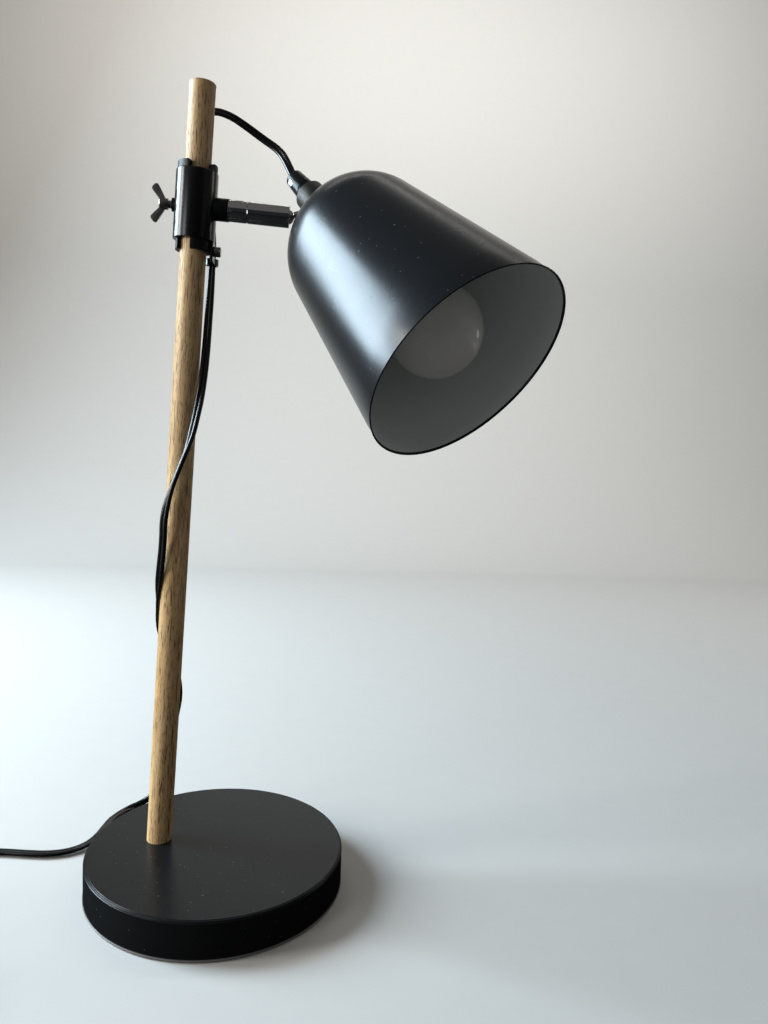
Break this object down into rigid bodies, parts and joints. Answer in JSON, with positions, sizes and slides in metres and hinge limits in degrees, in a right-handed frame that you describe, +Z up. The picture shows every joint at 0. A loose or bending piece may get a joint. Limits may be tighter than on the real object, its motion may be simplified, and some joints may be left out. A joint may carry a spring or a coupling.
{
  "type": "desk lamp",
  "caption": "Desk lamp with a round foot, a leaning oak post, a sliding clamp, a short swivelling arm with a ball joint, a black bell shade with a frosted bulb, and a flat black lead.",
  "frame": {"origin": "centre of the foot's underside, on the surface that the lamp stands on", "axes": "+Z up, +X horizontal and along the arm as seen from above, +Y away from the side that the shade is turned to"},
  "size_m": [0.4372, 0.3509, 0.5529],
  "materials": {
    "black_enamel": "satin",
    "shade_enamel": "satin",
    "gloss_enamel": "gloss",
    "cast_weight": "rough",
    "foot_pad": "matt",
    "oak": "oiled",
    "brass": "turned",
    "steel": "plain",
    "dark_steel": "blackened",
    "chrome": "polished",
    "neck_metal": "satin",
    "black_plastic": "matt",
    "rocker_plastic": "gloss",
    "nylon": "plain",
    "ceramic": "glazed",
    "lead_jacket": "satin",
    "frosted_glass": "frosted",
    "clear_glass": "clear",
    "cap_metal": "plain",
    "filament_wire": "drawn"
  },
  "bodies": {
    "stand": {"base_cover": "black_enamel", "base_weight": "cast_weight", "base_pad": "foot_pad", "rod": "oak", "rod_insert": "brass", "rod_bolt": "steel", "rod_washer": "steel", "cord_drop_lower": "lead_jacket", "cord_floor": "lead_jacket", "cord_switch_link": "lead_jacket", "cord_coil": "lead_jacket", "cord_plug_link": "lead_jacket", "cord_tie": "black_plastic", "switch_top": "black_plastic", "switch_bottom": "black_plastic", "switch_contacts": "brass", "switch_wires": "lead_jacket", "switch_screws": "steel", "plug_body": "black_plastic", "plug_pins": "brass", "plug_sleeves": "nylon"},
    "carriage": {"clamp_liner": "black_plastic", "cord_drop_upper": "lead_jacket"},
    "clamp": {"clamp_sleeve": "gloss_enamel", "arm_boss": "black_enamel", "arm_washer": "chrome", "swivel_ring": "chrome", "arm_stud": "steel", "pivot_screw": "chrome", "cord_clip": "chrome", "clip_screw": "dark_steel", "cord_loop_rear": "lead_jacket"},
    "pad": {"screw_pad": "black_plastic"},
    "wing": {"wing_screw": "dark_steel"},
    "arm": {"swivel_tube": "chrome", "ball_seat": "nylon", "disc_springs": "steel"},
    "head": {"ball_stud": "chrome", "neck": "neck_metal", "neck_flange": "black_enamel", "cord_grip": "black_enamel", "grip_screw": "steel", "nipple": "steel", "nipple_nut": "steel", "shade": "shade_enamel", "holder_cap": "black_plastic", "holder_body": "black_plastic", "thread_shell": "brass", "holder_insert": "ceramic", "holder_contacts": "brass", "terminal_screws": "steel", "lead_inner": "lead_jacket", "bulb_globe": "frosted_glass", "bulb_cap": "cap_metal", "bulb_insulator": "clear_glass", "bulb_contact": "brass", "bulb_stem": "clear_glass", "bulb_filament": "filament_wire", "cord_loop_front": "lead_jacket"},
    "rocker": {"switch_rocker": "rocker_plastic"}
  },
  "joints": [
    {"name": "clamp_slide", "type": "slide", "parent": "stand", "child": "carriage", "axis": [0.0419, 0, 0.9991], "range_m": [-0.22, 0.05], "deforming": ["cord_drop_lower"]},
    {"name": "clamp_turn", "type": "hinge", "parent": "carriage", "child": "clamp", "pos_m": [-0.02362, 0.0087, 0.47261], "axis": [0.0419, 0, 0.9991], "range_deg": [-90, 90], "deforming": ["cord_drop_upper"]},
    {"name": "arm_swivel", "type": "hinge", "parent": "clamp", "child": "arm", "pos_m": [-0.02362, 0.0087, 0.47261], "axis": [0.9991, 0, -0.0419], "range_deg": [-80, 130], "deforming": ["cord_loop_rear"]},
    {"name": "head_tilt", "type": "hinge", "parent": "arm", "child": "head", "pos_m": [0.03792, 0.0087, 0.47003], "axis": [0.0277, -0.7509, 0.6598], "range_deg": [-33, 8.5], "deforming": ["cord_loop_front"]},
    {"name": "screw_travel", "type": "slide", "parent": "clamp", "child": "pad", "axis": [-0.9991, 0, 0.0419], "range_m": [0, 0.0012]},
    {"name": "wing_turn", "type": "hinge", "parent": "pad", "child": "wing", "pos_m": [-0.02362, 0.0087, 0.47261], "axis": [-0.9991, 0, 0.0419], "range_deg": [0, 540]},
    {"name": "switch_rock", "type": "hinge", "parent": "stand", "child": "rocker", "pos_m": [-0.21, -0.056, 0.011], "axis": [1, 0, 0], "range_deg": [0, 14]}
  ],
  "couplings": [
    {"joint": "screw_travel", "follows": "wing_turn", "m_per_rad": 0.000127}
  ]
}
